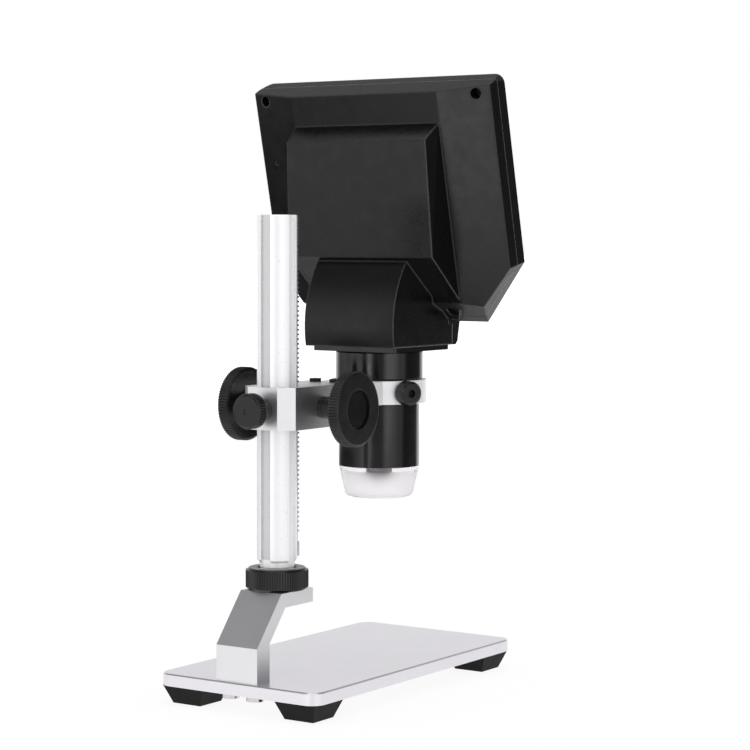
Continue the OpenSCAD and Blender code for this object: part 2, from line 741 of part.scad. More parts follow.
// Thumb screw that clamps the carriage to the column
module lock_screw() {
    face = carriage_back + lock_out;
    color([0.12, 0.12, 0.12]) along_lock() difference() {
        union() {
            translate([0, 0, pad_end + face_gap]) cylinder(h = face - pad_end - 1, r = lock_shank_r);
            translate([0, 0, carriage_back + face_gap]) cylinder(h = lock_out - 1, r = lock_collar_r);
            translate([0, 0, face - lock_t]) ribbed_disc(lock_r, lock_t, lock_ribs, rib_depth, 0.5);
        }
        translate([0, 0, face - 0.4]) cylinder(h = 1, r = 1.2);
    }
}

// One shaft from knob to knob, with the pinion cut on its middle
module pinion_shaft() {
    tooth = [[tooth_root, -dedendum], [tooth_mid, 0], [tooth_tip, addendum]];
    color("silver") along_shaft() difference() {
        union() {
            linear_extrude(pinion_w, center = true)
                for (i = [0:pinion_teeth - 1]) rotate(i * 360 / pinion_teeth) translate([0, pinion_pitch_r])
                    polygon(concat([for (p = tooth) p],
                                   [for (k = [2:-1:0]) [-tooth[k][0], tooth[k][1]]],
                                   [[0, -pinion_pitch_r]]));
            cylinder(h = pinion_w, r = pinion_pitch_r - dedendum, center = true);
            for (side = [0, 1]) mirror([0, 0, side]) translate([0, 0, pinion_w / 2])
                cylinder(h = shaft_end - pinion_w / 2, r = shaft_r);
        }
        for (side = [0, 1]) mirror([0, 0, side]) translate([0, 0, shaft_end - knob_screw_grip])
            cylinder(h = knob_screw_grip + eps, r = knob_screw_r);
    }
}

// A focusing knob with its hub, facing +X
module knob() color([0.1, 0.1, 0.1]) along_shaft() difference() {
    union() {
        translate([0, 0, knob_inner]) ribbed_disc(knob_r, knob_t, knob_ribs, rib_depth, knob_bevel);
        translate([0, 0, bush_end + face_gap]) cylinder(h = knob_inner - bush_end + 1, r = hub_r);
    }
    translate([0, 0, shaft_end]) cylinder(h = far, r = knob_recess_r);
    translate([0, 0, knob_inner - eps]) difference() {
        cylinder(h = knob_dish + eps, r = knob_r - 2.2);
        translate([0, 0, -1]) cylinder(h = knob_dish + 2, r = hub_r + 1.2);
    }
    cylinder(h = far, r = shaft_r);
}
module right_knob() knob();
module left_knob() mirror([1, 0, 0]) knob();

module knob_screws() color("dimgray") on_both_sides() along_shaft() difference() {
    union() {
        translate([0, 0, shaft_end]) cylinder(h = knob_screw_head_h, r = knob_screw_head_r);
        translate([0, 0, shaft_end - knob_screw_grip + 0.5]) cylinder(h = knob_screw_grip, r = knob_screw_r);
    }
    translate([0, 0, shaft_end + knob_screw_head_h / 2])
        cylinder(h = knob_screw_head_h, r = knob_screw_r, $fn = 6);
}

// A plain cap in each knob's recess, hollow where it covers the screw
module knob_caps() color([0.05, 0.05, 0.05]) on_both_sides() along_shaft() difference() {
    translate([0, 0, shaft_end]) cylinder(h = knob_recess - cap_sink, r = knob_recess_r);
    translate([0, 0, shaft_end - eps]) cylinder(h = knob_screw_head_h + face_gap + eps, r = cap_pocket_r);
}

// The ring that holds the tube, with its arm and the tongue inside the carriage
module holder_arm() color("lightgray") difference() {
    union() {
        at_tube(ring_z) cylinder(h = ring_h, r = ring_r);
        translate([-carriage_w / 2, tube_y, ring_z]) cube([carriage_w, reach - carriage_front, ring_h]);
        translate([-tongue_w / 2, column_y - carriage_front - 1, tongue_z])
            cube([tongue_w, tongue_l + 1, tongue_h]);
    }
    at_tube(ring_z - eps) cylinder(h = ring_h + 2 * eps, r = ring_bore_r);
    along_ring_screw() cylinder(h = far, r = ring_screw_shank_r + run_gap);
    for (x = [-arm_screw_x, arm_screw_x])
        translate([x, arm_screw_y, arm_screw_tip - eps]) cylinder(h = tongue_h, r = arm_screw_r);
}

module arm_screws() color([0.12, 0.12, 0.12])
    for (x = [-arm_screw_x, arm_screw_x]) translate([x, arm_screw_y, 0]) difference() {
        union() {
            translate([0, 0, arm_screw_tip])
                cylinder(h = carriage_top - arm_screw_tip + arm_screw_head_h / 2, r = arm_screw_r);
            translate([0, 0, carriage_top]) cylinder(h = arm_screw_head_h, r = arm_screw_head_r);
        }
        translate([0, 0, carriage_top + arm_screw_head_h / 2])
            cylinder(h = arm_screw_head_h, r = arm_screw_r * 0.7, $fn = 6);
    }

// Thumb screw that holds the tube in the ring
module ring_screw() color([0.12, 0.12, 0.12]) along_ring_screw() difference() {
    union() {
        translate([0, 0, tube_r + free_gap])
            cylinder(h = ring_screw_out - tube_r - 1, r = ring_screw_shank_r);
        translate([0, 0, ring_screw_in])
            ribbed_disc(ring_screw_r, ring_screw_out - ring_screw_in, ring_screw_ribs, rib_depth, 0.5);
    }
    translate([0, 0, ring_screw_out - socket_depth]) cylinder(h = far, r = socket_r);
}

// ---------- tube ----------

// The tube, with the sleeve on which the focus ring turns and the collar that the flange holds
module barrel() color([0.08, 0.08, 0.08]) at_tube() rotate_extrude()
    polygon([[tube_bore_r, tube_z], [tube_r, tube_z], [tube_r, shoulder_z], [sleeve_r, shoulder_z],
             [sleeve_r, neck_z], [sleeve_collar_r, neck_z], [sleeve_collar_r, neck_z + sleeve_collar_h],
             [sleeve_bore_r, neck_z + sleeve_collar_h], [sleeve_bore_r, bore_step_z],
             [tube_bore_r, bore_step_z]]);

module focus_ring() color([0.08, 0.08, 0.08]) at_tube() rotate_extrude()
    polygon([[sleeve_r + run_gap, focus_z], [focus_r - 0.6, focus_z], [focus_r, focus_z + 0.6],
             [focus_r, focus_top - 0.6], [focus_r - 0.6, focus_top], [sleeve_r + run_gap, focus_top]]);

// The lens barrel, which slides along the tube as the focus ring turns
module lens_carrier() color([0.15, 0.15, 0.15]) at_tube() rotate_extrude()
    polygon([[nose_lens_r, nose_z], [nose_r, nose_z], [nose_r, nose_z + nose_l],
             [carrier_mid_r, nose_z + nose_l + nose_cone_l], [carrier_mid_r, guide_z],
             [carrier_guide_r, guide_z],
             [carrier_guide_r, carrier_top], [rear_lens_r + 1.5, carrier_top],
             [rear_lens_r + 1.5, rear_lens_z + lens_t], [rear_lens_r, rear_lens_z + lens_t],
             [rear_lens_r, guide_z], [nose_lens_r, nose_z + nose_l + nose_wall]]);

// A lens with two domed faces, from z = 0 to t
module lens(r, t) {
    dome = t / 3;
    ball = (r * r + dome * dome) / (2 * dome);
    a = asin(r / ball);
    rotate_extrude()
        polygon(concat(arc([0, ball], ball, -90, a - 90, 6), arc([0, t - ball], ball, 90 - a, 90, 6)));
}
module front_lens() color("lightblue") at_tube(nose_z + lens_inset) lens(nose_lens_r, lens_t);
module rear_lens() color("lightblue") at_tube(rear_lens_z) lens(rear_lens_r, lens_t);

module led_board() color("darkgreen") at_tube(led_board_z) difference() {
    cylinder(h = led_board_t, r = tube_bore_r - run_gap);
    translate([0, 0, -eps]) cylinder(h = led_board_t + 2 * eps, r = led_board_hole_r);
}

module led_lamps() color("lightyellow") at_tube(led_board_z - led_h / 2)
    for (i = [0:led_count - 1]) rotate([0, 0, (i + 0.5) * 360 / led_count]) translate([0, led_ring_r, 0])
        cube([led_size, led_size, led_h], center = true);

// The clear cap: a spigot inside the tube, a tapered wall, a rounded lip and an open mouth
module clear_cap() {
    lip = [cap_r - cap_round, cap_z + cap_round];
    color([0.9, 0.93, 0.95, 0.5]) at_tube() rotate_extrude()
        polygon(concat([[spigot_r - cap_wall, tube_z + spigot_l], [spigot_r - cap_wall, cap_top],
                        [cap_r - cap_wall, cap_z + cap_round]],
                       arc(lip, cap_round - cap_wall, 0, -90, 6),
                       [[cap_mouth_r, cap_z + cap_wall], [cap_mouth_r, cap_z]],
                       arc(lip, cap_round, -90, 0, 8),
                       [[tube_r, cap_top], [spigot_r, cap_top], [spigot_r, tube_z + spigot_l]]));
}

module sensor_board() color("darkgreen") at_tube(sensor_board_z)
    cylinder(h = sensor_board_t, r = sleeve_bore_r - run_gap);

module image_sensor() color([0.2, 0.2, 0.25]) at_tube(sensor_board_z - sensor_h / 2)
    cube([sensor_size, sensor_size, sensor_h], center = true);

// The flat ribbon from the sensor board up to the main board
module sensor_cable() {
    foot = [tube_y, sensor_board_z + sensor_board_t];
    knee = [tube_y, neck_z + cable_knee];
    top = from_head([board_y + board_t / 2, board_low - face_gap]) - [0, cable_t];
    shift = [cable_t, 0];
    color("orange") across_x(cable_w) polygon([foot, foot + shift, knee + shift, top + shift, top, knee]);
}

module neck_flange() color([0.08, 0.08, 0.08])
    translate([0, tube_y - flange_ahead, flange_z]) difference() {
        chamfered_plate(flange_w, flange_d, flange_t, flange_r, 0.2);
        translate([0, flange_ahead, -eps]) cylinder(h = flange_t + 2 * eps, r = sleeve_r + run_gap);
    }

// ---------- head housing ----------

// What is cut from the head's lower right corner, with the cut moved in by t
module corner_cut(t)
    translate([head_w / 2 - corner_w, -head_front, -head_bottom])
        rotate([0, -atan2(corner_h, corner_w), 0]) rotate([atan2(corner_slope, head_t), 0, 0])
            translate([-far / 2, -far / 2, t - far]) cube(far);

// The head inside its front, side and top outlines and its cut corners, each moved in by t
module tray(t) {
    half = head_w / 2;
    flat_back = facet_w / 2;
    front = concat([[half, -head_bottom]],
                   arc([half - corner_r, head_top - corner_r], corner_r, 0, 90, 8),
                   arc([corner_r - half, head_top - corner_r], corner_r, 90, 180, 8),
                   [[-half, -head_bottom]]);
    side = [[back_w, head_top - top_slope], [-head_front, head_top],
            [-head_front, -head_bottom], [back_w, bottom_slope - head_bottom]];
    top = [[-half, -head_front], [half, -head_front], [half - side_slope, back_w - facet_drop],
           [flat_back, back_w], [-flat_back, back_w], [side_slope - half, back_w - facet_drop]];
    in_head() difference() {
        intersection() {
            translate([0, far / 2, 0]) rotate([90, 0, 0]) linear_extrude(far) polygon(inset(front, t));
            across_x(head_w) polygon(inset(side, t));
            translate([0, 0, -far / 2]) linear_extrude(far) polygon(inset(top, t));
        }
        on_both_sides() corner_cut(t);
    }
}

// The battery bump: a flat face that leans out to its lower edge, then a sloping underside
module bump() {
    right = [[bump_w / 2, bump_inside, bump_top], [bump_w / 2, back_w, bump_top],
             [bump_half_top, bump_face_y_top, bump_face_top],
             [bump_w / 2 + bump_flare, bump_face_y_bottom, bump_face_bottom],
             [bump_half_low, parting, bump_low_z],
             [bump_half_low - bump_toe_in, bump_toe - head_front, -head_bottom],
             [bump_w / 2, back_w, bump_low_z + bump_skirt]];
    left = [for (p = right) [-p[0], p[1], p[2]]];
    ring = [0, 1, 2, 3, 4, 5];
    side = [[0, 1, 6], [1, 3, 6], [1, 2, 3], [3, 4, 6], [4, 5, 6], [5, 0, 6]];
    across = [for (i = ring) let (k = (i + 1) % 6) [i, i + 7, k + 7, k]];
    in_head() polyhedron(concat(right, left),
        concat(across, side, [for (f = side) [f[2] + 7, f[1] + 7, f[0] + 7]]));
}

// The space inside the bump, which opens into the head's
module bump_space() {
    lean = (bump_face_bottom - bump_low_z) / (bump_face_y_bottom - parting);
    y0 = back_w - 2 * wall - bump_overlap;
    side = [[y0, bump_top], [y0, bump_low_z + lean * (y0 - parting)],
            [bump_face_y_bottom, bump_face_bottom], [bump_face_y_top, bump_face_top], [back_w, bump_top]];
    in_head() across_x(2 * (bump_half_top - wall)) polygon(inset(side, wall));
}

// The neck, moved in by t on all sides but its open bottom, which is moved down by drop. Its back
// is part of a cylinder, and its upper end hides inside the head.
module neck(t, drop) {
    low = neck_z - drop;
    behind = neck_back + neck_slack;
    brow = from_head([-head_front, chin_rise - head_bottom]) - [tube_y, 0];
    rim = from_head([-head_front, -head_bottom]);
    side = [[behind, low], [behind, head_z + bump_face_bottom + neck_root], brow, [-chin_front, rim[1]],
            [-neck_front, low + neck_cut], [neck_cut - neck_front, low]];
    translate([0, tube_y, 0]) intersection() {
        across_x(neck_w - 2 * t) polygon(inset(side, t));
        translate([0, neck_back - neck_curve, neck_z + neck_bulge]) rotate([0, 90, 0])
            cylinder(h = neck_w, r = neck_curve - t, center = true, $fn = 160);
    }
}

// Both shells together: the outer skin less the space inside
module housing() difference() {
    union() {
        tray(0);
        bump();
        neck(0, 0);
    }
    tray(wall);
    bump_space();
    neck(wall, 2 * wall);
}

// Everything ahead of the seam, which follows the head down and then drops straight along the neck
module ahead_of_seam() {
    high = from_head([parting, far]);
    knee = from_head([parting, -head_bottom]);
    front = tube_y - neck_seam;
    across_x(far) polygon([high, knee, [front, knee[1]], [front, 0], [-far, 0], [-far, high[1]]]);
}

module screw_boss(from, to) rotate([-90, 0, 0]) translate([0, 0, from]) cylinder(h = to - from, r = boss_r);

// The four bosses that take the case screws, kept inside the head's skin
module case_bosses(from, to) intersection() {
    in_head() for (p = SCREW_PLACES) translate([p[0], 0, p[1]]) screw_boss(from, to);
    union() {
        tray(wall / 2);
        bump();
    }
}

module front_bezel() color([0.1, 0.1, 0.11]) difference() {
    union() {
        intersection() {
            housing();
            ahead_of_seam();
        }
        case_bosses(front_in - eps, parting);
    }
    in_head() {
        translate([0, -head_front, screen_up]) {
            cube([glass_w + lip_gap, 2 * (glass_t + face_gap), glass_h + lip_gap], center = true);
            cube([glass_w - 2 * lip_w, 4 * wall, glass_h - 2 * lip_w], center = true);
        }
        for (i = [1:key_count]) translate([key_x(i), -head_front, -key_down]) rotate([90, 0, 0])
            cylinder(h = 4 * wall, r = key_r + key_hole_gap, center = true);
        for (p = SCREW_PLACES) translate([p[0], case_screw_tip, p[1]]) rotate([-90, 0, 0])
            cylinder(h = far, r = case_screw_r);
    }
}

module rear_cover() color([0.12, 0.12, 0.13]) difference() {
    union() {
        difference() {
            housing();
            translate([0, seam, 0]) ahead_of_seam();
        }
        case_bosses(parting, back_w);
    }
    in_head() {
        for (p = SCREW_PLACES) translate([p[0], 0, p[1]]) rotate([-90, 0, 0]) {
            translate([0, 0, case_screw_head_y]) cylinder(h = far, r = screw_hole_r);
            translate([0, 0, parting - eps]) cylinder(h = far, r = case_screw_r);
        }
        translate([head_w / 2, board_y - usb_t / 2, usb_up])
            cube([2 * (wall + 1), usb_t + 2 * run_gap, usb_l + 2 * run_gap], center = true);
        translate([head_w / 2, board_y - card_t / 2, card_up])
            cube([2 * (wall + 1), card_t + 2 * run_gap, card_l + 2 * run_gap], center = true);
        translate([head_w / 2 - reset_in, 0, (usb_up + card_up) / 2]) rotate([90, 0, 0])
            cylinder(h = 2 * head_t, r = reset_r, center = true);
    }
}

// ---------- inside the head ----------

function key_x(i) = (i - (key_count + 1) / 2) * key_pitch;

module cover_glass() color([0.02, 0.02, 0.03]) in_head()
    translate([0, glass_t / 2 - head_front, screen_up]) cube([glass_w, glass_t, glass_h], center = true);

module display_panel() color([0.3, 0.3, 0.35]) in_head()
    translate([0, panel_y + panel_t / 2, screen_up]) cube([panel_w, panel_t, panel_h], center = true);

// The circuit board with its main chips
module main_board() color("darkgreen") in_head() {
    translate([-board_half, board_y, board_low]) cube([2 * board_half, board_t, board_high - board_low]);
    for (i = [-2:1]) translate([(i + 0.25) * chip_pitch, board_back_y, cell_up + cell_r + chip_gap])
        cube([chip_w, chip_t, chip_w]);
}

module key_board() color("darkgreen") in_head() {
    translate([-(key_count * key_pitch) / 2, key_board_y, -key_down - key_board_h / 2])
        cube([key_count * key_pitch, board_t, key_board_h]);
    for (i = [1:key_count]) translate([key_x(i), switch_y + switch_h / 2, -key_down])
        cube([switch_size, switch_h, switch_size], center = true);
}

module battery_cell() color("steelblue") in_head() translate([0, cell_y, cell_up]) rotate([0, 90, 0])
    cylinder(h = cell_l, r = cell_r, center = true);

// The cradle that holds the cell on the main board
module battery_holder() color([0.15, 0.15, 0.15]) in_head() difference() {
    translate([-holder_half, board_back_y, cell_up - cell_r])
        cube([2 * holder_half, holder_top_y - board_back_y, 2 * cell_r]);
    translate([0, cell_y, cell_up]) rotate([0, 90, 0]) cylinder(h = far, r = cell_r + run_gap, center = true);
}

module battery_contacts() color("silver") in_head() on_both_sides()
    translate([cell_l / 2, board_back_y, cell_up - cell_r / 3])
        cube([contact_t, cell_y - board_back_y + cell_r / 2, cell_r * 2 / 3]);

module usb_port() color("silver") in_head() difference() {
    translate([port_in, board_y - usb_t, usb_up - usb_l / 2]) cube([port_out - port_in, usb_t, usb_l]);
    translate([port_in + 1, board_y - usb_t + 0.4, usb_up - usb_l / 2 + 0.4])
        cube([port_out, usb_t - 0.8, usb_l - 0.8]);
}

module card_slot() color("silver") in_head() difference() {
    translate([port_in, board_y - card_t, card_up - card_l / 2]) cube([port_out - port_in, card_t, card_l]);
    translate([port_in + 1, board_y - card_t + 0.3, card_up - card_l / 2 + 0.3])
        cube([port_out, card_t - 0.6, card_l - 0.6]);
}

module case_screws() color("dimgray") in_head() for (p = SCREW_PLACES)
    translate([p[0], case_screw_tip, p[1]]) rotate([-90, 0, 0]) difference() {
        union() {
            cylinder(h = case_screw_head_y - case_screw_tip, r = case_screw_r);
            translate([0, 0, case_screw_head_y - case_screw_tip])
                cylinder(h = case_screw_head_h, r = case_screw_head_r);
        }
        translate([0, 0, case_screw_head_y - case_screw_tip + case_screw_head_h / 2])
            cylinder(h = 2, r = case_screw_r * 0.8, $fn = 6);
    }

// A key: a cap in the bezel's hole, a flange behind it and a stem that meets its switch
module key(i) color([0.2, 0.2, 0.21]) in_head() translate([key_x(i), 0, -key_down]) rotate([-90, 0, 0]) {
    translate([0, 0, -head_front - key_out])
        cylinder(h = key_flange_y + head_front + key_out + eps, r = key_r);
    translate([0, 0, key_flange_y]) cylinder(h = key_flange_t, r = key_flange_r);
    translate([0, 0, key_flange_y]) cylinder(h = key_stem_end - key_flange_y, r = key_r / 3);
}

base_plate();
rubber_feet();
foot_screws();
bracket();
bracket_screws();
column();
rack();
ring_nut();
carriage();
shaft_bushes();
lock_pad();
lock_screw();
pinion_shaft();
left_knob();
right_knob();
knob_screws();
knob_caps();
holder_arm();
arm_screws();
ring_screw();
barrel();
focus_ring();
lens_carrier();
front_lens();
rear_lens();
led_board();
led_lamps();
clear_cap();
sensor_board();
image_sensor();
sensor_cable();
neck_flange();
front_bezel();
rear_cover();
cover_glass();
display_panel();
main_board();
key_board();
battery_cell();
battery_holder();
battery_contacts();
usb_port();
card_slot();
case_screws();
for (i = [1:key_count]) key(i);
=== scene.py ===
"""LCD digital microscope on its stand: camera, materials, floor, light and softened edges."""
import math

import bpy
from mathutils import Matrix, Vector

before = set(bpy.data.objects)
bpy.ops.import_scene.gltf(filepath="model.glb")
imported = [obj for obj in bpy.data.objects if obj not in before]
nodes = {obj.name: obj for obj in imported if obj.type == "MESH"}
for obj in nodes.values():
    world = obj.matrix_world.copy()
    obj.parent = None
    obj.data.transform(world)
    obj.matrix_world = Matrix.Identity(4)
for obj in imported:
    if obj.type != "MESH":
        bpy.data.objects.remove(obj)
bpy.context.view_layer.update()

# Lengths are in metres throughout. A fade is four numbers: the value goes from the third to the
# fourth of them while what it follows goes from the first to the second.

# ---------- camera ----------

YAW, PITCH, ROLL = (math.radians(v) for v in (33.90, 3.49, 0.14))
CAMERA_PLACE = (-0.53438, 0.77131, 0.18686)

forward = Vector((math.sin(YAW) * math.cos(PITCH), -math.cos(YAW) * math.cos(PITCH), -math.sin(PITCH)))
side = forward.cross(Vector((0, 0, 1))).normalized()
over = side.cross(forward)
right = side * math.cos(ROLL) + over * math.sin(ROLL)
up = over * math.cos(ROLL) - side * math.sin(ROLL)
camera = bpy.data.objects.new("camera", bpy.data.cameras.new("camera"))
camera.data.lens = 108.70
camera.data.sensor_width = 36
camera.data.clip_start = 0.01
camera.data.clip_end = 50
camera.matrix_world = Matrix.Translation(CAMERA_PLACE) @ Matrix((right, up, -forward)).transposed().to_4x4()
bpy.context.collection.objects.link(camera)
bpy.context.scene.camera = camera
bpy.context.scene.view_settings.view_transform = "Standard"


# ---------- node helpers ----------

class Graph:
    """A small wrapper for building the nodes of a material or of the world."""

    def __init__(self, name, holder=None):
        self.material = holder or bpy.data.materials.new(name)
        self.material.use_nodes = True
        self.tree = self.material.node_tree
        self.tree.nodes.clear()
        self.out = self.add("ShaderNodeOutputWorld" if holder else "ShaderNodeOutputMaterial")
        self.coords = self.add("ShaderNodeTexCoord").outputs["Generated" if holder else "Object"]

    def add(self, kind, **props):
        made = self.tree.nodes.new(kind)
        for key, value in props.items():
            setattr(made, key, value)
        return made

    def link(self, a, b):
        self.tree.links.new(a, b)

    def feed(self, slot, value):
        """Sets a socket, or links it where the value is itself a node's result."""
        if isinstance(value, (int, float)):
            slot.default_value = value
        else:
            self.link(value, slot)

    # Places and directions

    def along(self, axis, vector=None):
        """One axis of a vector, by default of the place on the object."""
        split = self.add("ShaderNodeSeparateXYZ")
        self.link(vector or self.coords, split.inputs["Vector"])
        return split.outputs[axis]

    def dot(self, a, b):
        d = self.add("ShaderNodeVectorMath", operation="DOT_PRODUCT")
        self.link(a, d.inputs[0])
        if isinstance(b, Vector):
            d.inputs[1].default_value = b
        else:
            self.link(b, d.inputs[1])
        return d.outputs["Value"]

    def towards(self, aim, way=None):
        """How far a place lies along aim, or how nearly a direction points along it."""
        return self.dot(way or self.coords, Vector(aim).normalized())

    def away_from(self, place):
        v = self.add("ShaderNodeVectorMath", operation="SUBTRACT")
        self.link(self.coords, v.inputs[0])
        v.inputs[1].default_value = place
        return v.outputs["Vector"]

    def unit(self, vector):
        v = self.add("ShaderNodeVectorMath", operation="NORMALIZE")
        self.link(vector, v.inputs[0])
        return v.outputs["Vector"]

    def length(self, vector):
        v = self.add("ShaderNodeVectorMath", operation="LENGTH")
        self.link(vector, v.inputs[0])
        return v.outputs["Value"]

    # Values

    def math(self, op, a, b):
        m = self.add("ShaderNodeMath", operation=op)
        self.feed(m.inputs[0], a)
        self.feed(m.inputs[1], b)
        return m.outputs["Value"]

    def times(self, *factors):
        product = factors[0]
        for factor in factors[1:]:
            product = self.math("MULTIPLY", product, factor)
        return product

    def size(self, value):
        return self.math("ABSOLUTE", value, 0.0)

    def remap(self, value, lo, hi, out_lo, out_hi):
        r = self.add("ShaderNodeMapRange")
        for name, v in (("From Min", lo), ("From Max", hi), ("To Min", out_lo), ("To Max", out_hi)):
            r.inputs[name].default_value = v
        self.link(value, r.inputs["Value"])
        return r.outputs["Result"]

    def smooth(self, value, lo, hi, out_lo, out_hi):
        r = self.remap(value, lo, hi, out_lo, out_hi)
        r.node.interpolation_type = "SMOOTHSTEP"
        return r

    def stretched(self, scale):
        m = self.add("ShaderNodeMapping")
        m.inputs["Scale"].default_value = scale
        self.link(self.coords, m.inputs["Vector"])
        return m.outputs["Vector"]

    def noise(self, scale, detail=3, rough=0.55, stretch=(1, 1, 1)):
        n = self.add("ShaderNodeTexNoise")
        n.inputs["Scale"].default_value = scale
        n.inputs["Detail"].default_value = detail
        n.inputs["Roughness"].default_value = rough
        self.link(self.stretched(stretch), n.inputs["Vector"])
        return n.outputs["Fac"]

    def open_sky(self, reach):
        """1 on an open face, and less the more that other faces within reach close it in."""
        a = self.add("ShaderNodeAmbientOcclusion", samples=8)
        a.inputs["Distance"].default_value = reach
        return a.outputs["AO"]

    # Colours

    def ramp(self, value, stops):
        r = self.add("ShaderNodeValToRGB")
        while len(r.color_ramp.elements) < len(stops):
            r.color_ramp.elements.new(0.5)
        for element, (place, colour) in zip(r.color_ramp.elements, stops):
            element.position = place
            element.color = (*colour, 1)
        self.link(value, r.inputs["Fac"])
        return r.outputs["Color"]

    def blend(self, share, colour, other):
        m = self.add("ShaderNodeMix", data_type="RGBA")
        self.link(share, m.inputs["Factor"])
        self.link(colour, m.inputs["A"])
        m.inputs["B"].default_value = (*other, 1)
        return m.outputs["Result"]

    def dimmed(self, colour, level):
        m = self.add("ShaderNodeMix", data_type="RGBA", blend_type="MULTIPLY")
        m.inputs["Factor"].default_value = 1
        self.link(colour, m.inputs["A"])
        self.link(level, m.inputs["B"])
        return m.outputs["Result"]

    # Surfaces

    def bump(self, height, strength, distance, normal=None):
        b = self.add("ShaderNodeBump")
        b.inputs["Strength"].default_value = strength
        b.inputs["Distance"].default_value = distance
        self.link(height, b.inputs["Height"])
        if normal is not None:
            self.link(normal, b.inputs["Normal"])
        return b.outputs["Normal"]

    def shader(self, colour, rough, normal=None, **values):
        p = self.add("ShaderNodeBsdfPrincipled")
        self.link(colour, p.inputs["Base Color"])
        self.link(rough, p.inputs["Roughness"])
        if normal is not None:
            self.link(normal, p.inputs["Normal"])
        for key, v in values.items():
            self.feed(p.inputs[key.replace("_", " ")], v)
        self.link(p.outputs["BSDF"], self.out.inputs["Surface"])


def shades(rgb, spread):
    """Darker, plain and lighter versions of a colour, for a colour ramp."""
    dark = tuple(c * (1 - spread) for c in rgb)
    light = tuple(min(1, c * (1 + spread)) for c in rgb)
    return [(0.3, dark), (0.5, rgb), (0.7, light)]


# ---------- kinds of material ----------

MIDDLE = (0.3, 0.7)                 # where most values of a noise lie
BLUR = 0.0001                       # width of the border between two finishes

# Plastic. The first three are noise scales, in cells to the metre
MOTTLE = 45
GLOSS_PATCHES = 160
SLOW_WAVES = 28
GRAIN_DEPTH = 0.00004               # at full strength
WAVE_DEPTH = 0.0006                 # at full strength
PLASTIC_GLOSS = 0.05                # how far the roughness strays
WEAR_AND_PAINTED_HIGHLIGHT_TURN = (0.76, 0.93, 1, 0)      # wear and painted highlight, by the cosine between the rounded edge and the face
WEAR_AND_PAINTED_HIGHLIGHT_OPEN = (0.5, 0.9, 0.25, 1)     # wear and painted highlight, by how open the edge lies
WEAR_AND_PAINTED_HIGHLIGHT_REACH = 0.002                  # how near another face has to be to keep an edge free of wear and painted highlight
WORN_SHINE = 0.45                   # how much smoother wear leaves an edge

# Metal. The first two are noise scales, in cells to the metre
CLOUDS = 60
PITS = 900
PITTED = (0.62, 0.72)               # noise values between which a pit darkens
METAL_DEPTH = 0.00003               # depth of the grain at full strength
METAL_GLOSS = 0.06                  # how far the roughness strays
CORNER_REACH = 0.006                # how far from an inner corner its painted shade reaches
CORNER_OPEN = (0.3, 0.95)           # how open a face lies where the painted shade is full, and where it ends
GROOVE_SHADE = 0.32                 # how much painted shade darkens the groove
GROOVE_BACK = (0.003, 0.004, 0, 1)  # its share, by the distance behind the column's axis
GROOVE_FOOT = 0.0005                # height over which it begins

# Glass. The first two are noise scales, in cells to the metre
TINT_CLOUDS = 30
GLASS_PATCHES = 200
TINT_SPREAD = 0.02
GLASS_GLOSS = 0.02                  # how far the roughness strays
POLISHED = 0.02                     # roughness above the frosted part
INK = (0.003, 0.003, 0.0035)        # black print


def plastic(name, rgb, rough=0.45, grain=0.00025, depth=0.25, spread=0.12, specular=0.5, coat=0.0,
            edge=None, painted_highlight_lift=10, waves=0.12):
    """Moulded plastic: fine spark-eroded grain, slow mottling and slightly uneven gloss. edge gives
    the radius over which its edges are rounded, made smoother by wear and lit by a painted
    highlight, and the lift for that painted highlight how many times lighter it paints them."""
    g = Graph(name)
    colour = g.ramp(g.noise(MOTTLE, 4), shades(rgb, spread))
    roughness = g.remap(g.noise(GLOSS_PATCHES), *MIDDLE, rough - PLASTIC_GLOSS, rough + PLASTIC_GLOSS)
    normal = g.bump(g.noise(1 / grain, 2), depth, GRAIN_DEPTH)
    normal = g.bump(g.noise(SLOW_WAVES, 2), waves, WAVE_DEPTH, normal)
    if edge:
        rounded = g.add("ShaderNodeBevel", samples=6)
        rounded.inputs["Radius"].default_value = edge
        g.link(normal, rounded.inputs["Normal"])
        normal = rounded.outputs["Normal"]
        face = g.add("ShaderNodeNewGeometry").outputs["Normal"]
        # Mask for the rounded, open edges: wear makes them smoother and a painted highlight lighter
        wear_and_painted_highlight = g.times(g.smooth(g.dot(normal, face), *WEAR_AND_PAINTED_HIGHLIGHT_TURN),
                       g.smooth(g.open_sky(WEAR_AND_PAINTED_HIGHLIGHT_REACH), *WEAR_AND_PAINTED_HIGHLIGHT_OPEN))
        roughness = g.math("SUBTRACT", roughness, g.times(wear_and_painted_highlight, rough * WORN_SHINE))
        # Painted highlight: the base colour is lifted along the rounded edges
        colour = g.blend(wear_and_painted_highlight, colour, tuple(c * painted_highlight_lift for c in rgb))
    g.shader(colour, roughness, normal, Specular_IOR_Level=specular, Coat_Weight=coat)
    return g.material


